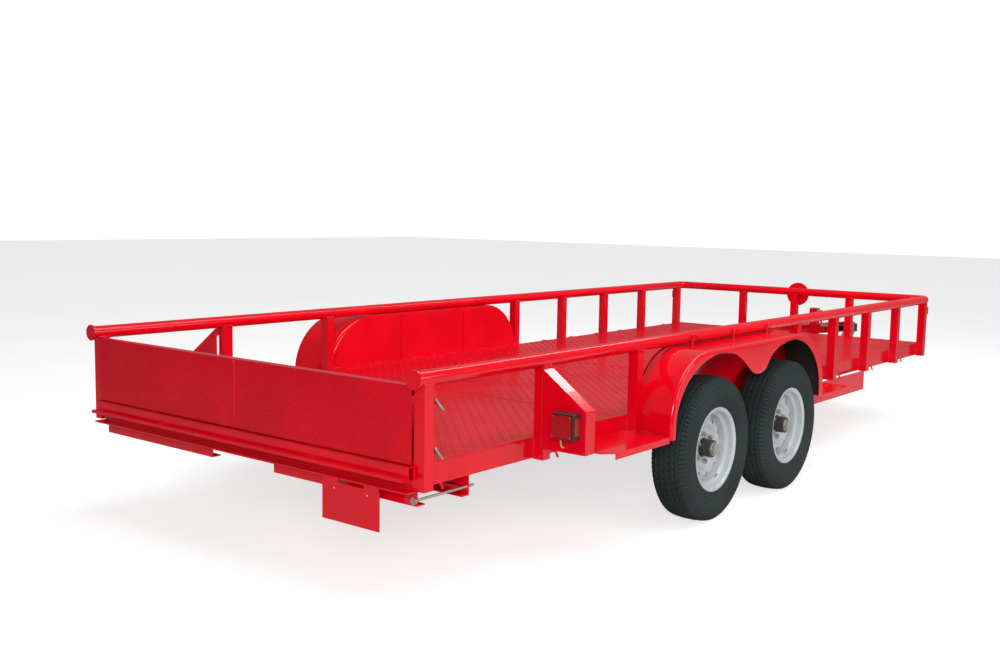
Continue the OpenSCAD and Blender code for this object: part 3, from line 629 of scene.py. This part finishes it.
def fender_points(fold):
    """One right-hand fender. Along u the outline runs up the rear end, round an elliptical shoulder, along
    the top and down the front; the arch edge below it runs round both wheels and the lobe between them.
    Across v the sheet leaves the inner wall's own outline, goes outwards over the top, turns down through a
    quarter circle of radius fold, and drops to the arch."""
    up = np.linspace(HEM_Z, SPRING_Z, 5)[:-1]
    a = np.linspace(0, np.pi / 2, 34)
    top = np.linspace(0, 1, 130)[1:-1]
    rise = FEND_Z - SPRING_Z
    oy = np.concatenate([0 * up + FEND_Y0, FEND_Y0 + SHOULDER_Y * (1 - np.cos(a)),
                         FEND_Y0 + SHOULDER_Y + top * (FEND_Y1 - FEND_Y0 - 2 * SHOULDER_Y),
                         FEND_Y1 - SHOULDER_Y * (1 - np.sin(a)), 0 * up + FEND_Y1])
    oz = np.concatenate([up, SPRING_Z + rise * np.sin(a), 0 * top + FEND_Z, SPRING_Z + rise * np.cos(a),
                         up[::-1]])
    lobe = ARCH_REAR + top * (ARCH_FRONT - ARCH_REAR)
    lobe_z = np.convolve(np.pad(np.interp(lobe, LOBE_Y, LOBE_Z), 3, mode="edge"), np.ones(7) / 7, "valid")
    ay = np.concatenate([0 * up + ARCH_REAR - ARCH_REAR_A, ARCH_REAR - ARCH_REAR_A * np.cos(a), lobe,
                         ARCH_FRONT + ARCH_FRONT_A * np.sin(a), 0 * up + ARCH_FRONT + ARCH_FRONT_A])
    az = np.concatenate([up, SPRING_Z + ARCH_REAR_B * np.sin(a), lobe_z, SPRING_Z + ARCH_FRONT_B * np.cos(a),
                         up[::-1]])
    ty, tz = np.gradient(oy), np.gradient(oz)
    length = np.hypot(ty, tz)
    ny, nz = tz / length, -ty / length
    rows = []
    wall = (oy - FEND_Y0) / (FEND_Y1 - FEND_Y0) * (WALL_Y1 - WALL_Y0) + WALL_Y0
    for v in np.linspace(0, 1, 12):
        x = WALL_X + v * (FEND_X - fold - WALL_X)
        rows.append(np.stack([0 * oy + x, wall + (oy - wall) * v ** 0.5, oz], 1))
    for q in np.linspace(0, np.pi / 2, 9)[1:]:
        inset = fold * (1 - math.cos(q))
        x = FEND_X - fold + fold * math.sin(q)
        rows.append(np.stack([0 * oy + x, oy + ny * inset, oz + nz * inset], 1))
    iy, iz = oy + ny * fold, oz + nz * fold
    for v in np.linspace(0, 1, 12)[1:]:
        rows.append(np.stack([0 * oy + FEND_X, iy + (ay - iy) * v, iz + (az - iz) * v], 1))
    return np.stack(rows, 1) - np.array([0, Y_MID, 0])


class TRAILER_OT_fenders(bpy.types.Operator):
    """Form the two fenders with a rounded fold and a double arch"""

    bl_idname = "trailer.fenders"
    bl_label = "Fenders"

    def execute(self, context):
        p = fender_points(0.016)
        for sign, side in SIDES:
            pts = p if sign > 0 else mirrored(p)
            faces = grid_faces(p.shape[0], p.shape[1], False, False)
            obj = make_object(f"formed_fender_{side}", pts, faces if sign < 0 else faces[:, ::-1])
            dress(obj, "chassis", MATERIALS["red_paint"], "red_paint",
                  *(("fender_skins", "fender_aprons") if sign > 0 else ()))
            obj.data.materials.append(MATERIALS["undercoat"])
            wall = obj.modifiers.new("sheet", "SOLIDIFY")
            wall.thickness = 0.003
            wall.offset = -1.0
            wall.material_offset = 1
            wall.material_offset_rim = 0
        return {"FINISHED"}


# ---- tread plate -----------------------------------------------------------


def lug_field(u0, u1, v0, v1, pitch, height):
    """Raised lugs on a plane (u, v, w): rows of thin boat shapes at +45 and -45 degrees in turn, each a
    hexagon at the foot and a short ridge on top."""
    nu, nv = int((u1 - u0) / pitch), int((v1 - v0) / pitch)
    i, j = np.meshgrid(np.arange(nu), np.arange(nv), indexing="ij")
    cu = u0 + (u1 - u0 - (nu - 1) * pitch) / 2 + i * pitch
    cv = v0 + (v1 - v0 - (nv - 1) * pitch) / 2 + j * pitch
    turn = np.where((i + j) % 2 == 0, 1.0, -1.0) * np.pi / 4
    l, b = 0.46 * pitch, 0.13 * pitch
    foot = np.array([[-l, 0], [-0.5 * l, -b], [0.5 * l, -b], [l, 0], [0.5 * l, b], [-0.5 * l, b],
                     [-0.55 * l, 0], [0.55 * l, 0]])
    w = np.array([-0.0002] * 6 + [height] * 2)
    c, s = np.cos(turn).reshape(-1, 1), np.sin(turn).reshape(-1, 1)
    pu = cu.reshape(-1, 1) + c * foot[:, 0] - s * foot[:, 1]
    pv = cv.reshape(-1, 1) + s * foot[:, 0] + c * foot[:, 1]
    points = np.stack([pu, pv, np.broadcast_to(w, pu.shape)], -1)
    tri = np.array([[0, 1, 6], [1, 2, 7], [1, 7, 6], [2, 3, 7], [3, 4, 7], [4, 5, 6], [4, 6, 7], [5, 0, 6]])
    faces = tri[None] + 8 * np.arange(len(pu))[:, None, None]
    return points.reshape(-1, 3), faces.reshape(-1, 3)


class TRAILER_OT_tread_plate(bpy.types.Operator):
    """Raise the lugs of the tread plate on the deck and the tailgate"""

    bl_idname = "trailer.tread_plate"
    bl_label = "Tread plate"

    def execute(self, context):
        s = context.scene.trailer_plate
        lo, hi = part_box("deck_plates")
        quarter = (hi[1] - lo[1]) / 4
        for k in range(4):
            p, f = lug_field(lo[0] + 0.012, hi[0] - 0.012, lo[1] + k * quarter + 0.014,
                             lo[1] + (k + 1) * quarter - 0.014, s.pitch, s.height)
            obj = make_object(f"deck_lugs_{k + 1}", p + np.array([0, 0, hi[2]]), f, smooth=True)
            dress(obj, "chassis", MATERIALS["red_tread"], "red_tread")
        glo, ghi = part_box("gate_sheets")
        for sign, side in SIDES:
            p, f = lug_field(0.010, ghi[0] - 0.010, glo[2] + 0.010, ghi[2] - 0.010, s.gate_pitch,
                             0.75 * s.height)
            q = np.stack([sign * p[:, 0], glo[1] - p[:, 2], p[:, 1]], 1)
            obj = make_object(f"gate_lugs_{side}", q, f if sign > 0 else f[:, ::-1], smooth=True)
            dress(obj, "gate", MATERIALS["red_tread"], "red_tread")
        return {"FINISHED"}


# ---- welds -----------------------------------------------------------------


# Half-width of a square post, and the posts' places along the bed
POST_HALF = 0.0254
POSTS_Y = (0.0524, 0.775, 1.499, 3.266, 3.840, 4.402, 4.968)
FRONT_POST_Y = 5.624
# Splice in the top rail, back of the lamp bracket, and edge of the deck plates
SPLICE_Y = 1.446
BRACKET_X, BRACKET_Y = 1.0704, 0.7338
DECK_EDGE_X = 1.0188
# How deep a ring of weld sits in the rail
SUNK = 0.0008


def bead(points, radius, ripple, ref, seed):
    """A weld bead along a line: a tube whose radius swells by 16% at each ripple and drifts a little along
    it, and tapers at both ends."""
    path, t = along(points, ripple / 4)
    drift = np.random.default_rng(seed).normal(0, 1, len(t) // 8 + 3)
    drift = np.interp(np.arange(len(t)) / 8, np.arange(len(drift)), drift)
    r = radius * (1 + 0.16 * np.abs(np.sin(np.pi * t / ripple)) + 0.06 * drift)
    r *= np.clip(np.minimum(t, t[-1] - t) / (2 * radius) + 0.45, 0.45, 1.0)
    return tube(path, r, 7, np.asarray(ref, float))


def saddle(x, y, rail, radius, half, across):
    """The line where a square post of half-width half meets the pipe above it: the pipe's underside
    z = rail - sqrt(radius^2 - u^2), followed round the post's four faces."""
    corner = half - 0.003
    a = np.linspace(0, 2 * np.pi, 73)
    u = np.clip(1.35 * half * np.cos(a), -half, half)
    v = np.clip(1.35 * half * np.sin(a), -half, half)
    z = rail - np.sqrt(radius ** 2 - np.clip(u, -corner, corner) ** 2)
    u, v = (u, v) if across == "x" else (v, u)
    return np.stack([x + u, y + v, z - 0.0006], 1)


class TRAILER_OT_welds(bpy.types.Operator):
    """Lay the weld beads on posts, rails, deck seams, brackets and the tailgate"""

    bl_idname = "trailer.welds"
    bl_label = "Welds"

    def execute(self, context):
        s = context.scene.trailer_weld
        lo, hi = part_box("side_rails")
        rail_z, rail_r = (lo[2] + hi[2]) / 2, (hi[2] - lo[2]) / 2
        rail_x = hi[0] - rail_r
        half = POST_HALF
        groups = {"saddle_welds": [], "post_welds": [], "deck_welds": [], "bracket_welds": []}
        seed = 5
        for sign in (-1, 1):
            for y in POSTS_Y:
                seed += 1
                y -= Y_MID
                line = saddle(sign * rail_x, y, rail_z, rail_r, half, "x")
                groups["saddle_welds"].append(bead(line, s.radius, s.ripple, (0.02, 0.01, 1), seed))
                for e in (-1, 1):
                    x = sign * (rail_x - half)
                    line = [(x, y + e * half, 0.476), (x, y + e * half, 0.556)]
                    groups["post_welds"].append(bead(line, 0.8 * s.radius, s.ripple, (1, 0.2, 0), seed + e))
            a = np.linspace(0, 2 * np.pi, 61)
            ring = np.stack([sign * rail_x + (rail_r - SUNK) * np.cos(a), 0 * a + SPLICE_Y - Y_MID,
                             rail_z + (rail_r - SUNK) * np.sin(a)], 1)
            groups["saddle_welds"].append(bead(ring, 0.7 * s.radius, s.ripple, (0, 1, 0), seed + 40))
            x, y = sign * BRACKET_X, BRACKET_Y - Y_MID
            line = [(x, y, 0.53), (x, y, 0.85)]
            groups["bracket_welds"].append(bead(line, 0.7 * s.radius, s.ripple, (1, 0.2, 0), seed + 50))
            for k in range(16):
                x, y = sign * DECK_EDGE_X, 0.16 + 0.34 * k - Y_MID
                line = [(x, y, 0.5628), (x, y + 0.055, 0.5628)]
                groups["deck_welds"].append(bead(line, s.radius, s.ripple, (0, 0.1, 1), 100 + seed + k))
        for x in (-0.455, 0.0, 0.455):
            line = saddle(x, FRONT_POST_Y - Y_MID, rail_z, rail_r, half, "y")
            groups["saddle_welds"].append(bead(line, s.radius, s.ripple, (0.02, 0.01, 1), 77))
        dlo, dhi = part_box("deck_plates")
        quarter = (dhi[1] - dlo[1]) / 4
        for k in (1, 2, 3):
            y, z = dlo[1] + k * quarter, dhi[2] - 0.0012
            line = [(dlo[0] + 0.01, y, z), (dhi[0] - 0.01, y, z)]
            groups["deck_welds"].append(bead(line, s.radius, 2 * s.ripple, (0, 0.1, 1), 200 + k))
        for x in (0.600, 0.640, 0.820, 0.860):
            y = -0.0102 - Y_MID
            line = [(x - 0.012, y, 0.4600), (x + 0.012, y, 0.4600)]
            seed = 300 + int(1000 * x)
            groups["bracket_welds"].append(bead(line, 0.8 * s.radius, s.ripple, (0, 0.1, 1), seed))
        for name, grids in groups.items():
            p, f = join_grids(grids, [(False, True)] * len(grids))
            obj = make_object(name, p, f, weld=True)
            dress(obj, "chassis", MATERIALS["red_paint"], "red_paint")
        glo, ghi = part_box("gate_sheets")
        line = [(0, glo[1] + 0.0004, glo[2] + 0.004), (0, glo[1] + 0.0004, ghi[2] - 0.004)]
        grid = bead(line, 0.8 * s.radius, s.ripple, (1, 0.1, 0), 400)
        p, f = join_grids([grid], [(False, True)])
        obj = make_object("gate_weld", p, f, weld=True)
        dress(obj, "gate", MATERIALS["red_paint"], "red_paint")
        return {"FINISHED"}


# ---- bent rods -------------------------------------------------------------


# Middle and radius of the top rail's pipe, middle of the lamps, and radii of the bent rods
RAIL_X, PIPE_RADIUS = 1.045, 0.03015
LAMP_X = 1.185
HOOK_RADIUS, LEAD_RADIUS = 0.005, 0.003


def rounded(points, passes=3):
    """A polyline with its corners cut at a quarter and three quarters, passes times, so that it bends
    smoothly."""
    p = np.asarray(points, float)
    for _ in range(passes):
        cut = np.stack([0.75 * p[:-1] + 0.25 * p[1:], 0.25 * p[:-1] + 0.75 * p[1:]], 1).reshape(-1, 3)
        p = np.concatenate([p[:1], cut, p[-1:]])
    return p


class TRAILER_OT_rods(bpy.types.Operator):
    """Bend the rope hooks and the lamp leads"""

    bl_idname = "trailer.rods"
    bl_label = "Hooks and leads"

    def execute(self, context):
        hooks, leads = [], []
        x, half, z = RAIL_X, POST_HALF, 0.493
        for sign in (-1, 1):
            flip = np.array([sign, 1, 1])
            for y in (0.0524, 0.775, 3.840, 4.402, 4.968):
                y -= Y_MID
                line = [(x + 0.016, y + half - 0.001, z + 0.003), (x + 0.022, y + half + 0.016, z + 0.012),
                        (x + 0.030, y + half + 0.032, z + 0.004), (x + 0.034, y + half + 0.044, z - 0.022)]
                path, _ = along(rounded(line), 0.002)
                hooks.append(tube(path * flip, HOOK_RADIUS, 12, np.array([0.9, -0.3, 0.0])))
            for y in (1.960, 2.400, 2.800):
                y -= Y_MID
                hx = RAIL_X + PIPE_RADIUS + 0.008
                line = [(hx, y, 0.851), (hx, y, 0.895), (hx + 0.003, y + 0.012, 0.903),
                        (hx + 0.008, y + 0.030, 0.889)]
                path, _ = along(rounded(line), 0.002)
                hooks.append(tube(path * flip, HOOK_RADIUS, 12, np.array([0.9, -0.2, 0.0])))
            line = [(LAMP_X, 0.712, 0.589), (LAMP_X, 0.712, 0.562), (LAMP_X, 0.722, 0.545),
                    (LAMP_X, 0.735, 0.545)]
            path, _ = along(rounded(line) - np.array([0, Y_MID, 0]), 0.002)
            leads.append(tube(path * flip, LEAD_RADIUS, 12, np.array([1.0, 0.0, 0.0])))
        for name, grids, slot, node in (("bent_rope_hooks", hooks, "red_paint", "rope_hooks"),
                                        ("bent_lamp_leads", leads, "cream_insulation", "lamp_leads")):
            p, f = join_grids(grids, [(False, True)] * len(grids))
            obj = make_object(name, p, f, weld=True)
            dress(obj, "chassis", MATERIALS[slot], slot, node)
        return {"FINISHED"}


# ---- stage -----------------------------------------------------------------


# Place of the camera in metres, its turns about X, Y and Z in degrees, and its focal length in millimetres
CAMERA_AT = (3.7136, -6.3150, 1.4857)
CAMERA_TURN = (83.725, -0.965, 38.694)
CAMERA_LENS = 39.74


def area_light(name, place_at, look_at, size, power):
    """A soft rectangular light at place_at that faces look_at."""
    data = bpy.data.lights.new(name, "AREA")
    data.shape = "RECTANGLE"
    data.size, data.size_y = size
    data.energy = power
    obj = bpy.data.objects.new(name, data)
    bpy.context.scene.collection.objects.link(obj)
    obj.location = place_at
    obj.rotation_euler = (Vector(look_at) - Vector(place_at)).to_track_quat("-Z", "Y").to_euler()
    return obj


class TRAILER_OT_stage(bpy.types.Operator):
    """Set the floor, the lights and the camera"""

    bl_idname = "trailer.stage"
    bl_label = "Stage"

    def execute(self, context):
        s = context.scene.trailer_stage
        scene = context.scene
        p = np.array([[-40.0, -40, 0], [40, -40, 0], [40, 40, 0], [-40, 40, 0]])
        floor = make_object("studio_floor", p, [[0, 1, 2, 3]], smooth=False)
        floor.data.materials.append(MATERIALS["studio_floor"])
        world = bpy.data.worlds.new("white_surround")
        world.use_nodes = True
        tree = world.node_tree
        back = tree.nodes["Background"]
        back.inputs["Color"].default_value = (1.0, 1.0, 1.0, 1.0)
        seen = tree.nodes.new("ShaderNodeLightPath").outputs["Is Camera Ray"]
        tree.links.new(math_node(tree, "MULTIPLY_ADD", seen, 1.05 - s.sky, s.sky), back.inputs["Strength"])
        scene.world = world
        scene.view_settings.view_transform = "Standard"
        area_light("key_light", (2.0, -1.0, 6.5), (0, 0.5, 0.6), (7.0, 5.0), s.key)
        area_light("rear_light", (5.2, -8.6, 3.0), (0, -2.6, 0.6), (3.2, 2.0), 2.4 * s.fill)
        area_light("strip_light", (0.8, 2.0, 4.5), (0.8, 2.05, 0.0), (0.35, 4.5), s.strip)
        area_light("side_light", (6.5, 0.0, 2.6), (1.1, 0.4, 0.5), (6.0, 1.6), 0.8 * s.fill)
        data = bpy.data.cameras.new("camera")
        data.lens = CAMERA_LENS
        data.sensor_width = 36.0
        data.clip_end = 200.0
        cam = bpy.data.objects.new("camera", data)
        scene.collection.objects.link(cam)
        cam.location = CAMERA_AT
        cam.rotation_euler = [math.radians(v) for v in CAMERA_TURN]
        scene.camera = cam
        return {"FINISHED"}


class TRAILER_PT_panel(bpy.types.Panel):
    """Sizes and steps of the trailer"""

    bl_label = "Trailer"
    bl_idname = "TRAILER_PT_panel"
    bl_space_type = "VIEW_3D"
    bl_region_type = "UI"
    bl_category = "Trailer"

    def draw(self, context):
        for group in PROPERTY_GROUPS:
            settings = getattr(context.scene, group)
            column = self.layout.column(align=True)
            for key in settings.bl_rna.properties.keys():
                if key not in {"rna_type", "name"}:
                    column.prop(settings, key)
        for step in OPERATORS:
            self.layout.operator(step.bl_idname)


PROPERTY_GROUPS = {
    "trailer_paint": PaintSettings,
    "trailer_tyre": TyreSettings,
    "trailer_plate": PlateSettings,
    "trailer_weld": WeldSettings,
    "trailer_stage": StageSettings,
}
OPERATORS = (TRAILER_OT_finishes, TRAILER_OT_tyres, TRAILER_OT_fenders, TRAILER_OT_tread_plate,
             TRAILER_OT_welds, TRAILER_OT_rods, TRAILER_OT_stage)


def register():
    for name, cls in PROPERTY_GROUPS.items():
        bpy.utils.register_class(cls)
        setattr(bpy.types.Scene, name, bpy.props.PointerProperty(type=cls))
    for cls in (*OPERATORS, TRAILER_PT_panel):
        bpy.utils.register_class(cls)


def unregister():
    for cls in (TRAILER_PT_panel, *reversed(OPERATORS)):
        bpy.utils.unregister_class(cls)
    for name, cls in PROPERTY_GROUPS.items():
        delattr(bpy.types.Scene, name)
        bpy.utils.unregister_class(cls)


def main():
    """Builds everything in order."""
    register()
    bpy.ops.trailer.finishes()
    bpy.ops.trailer.tyres()
    bpy.ops.trailer.fenders()
    bpy.ops.trailer.tread_plate()
    bpy.ops.trailer.welds()
    bpy.ops.trailer.rods()
    bpy.ops.trailer.stage()


if __name__ == "__main__":
    main()
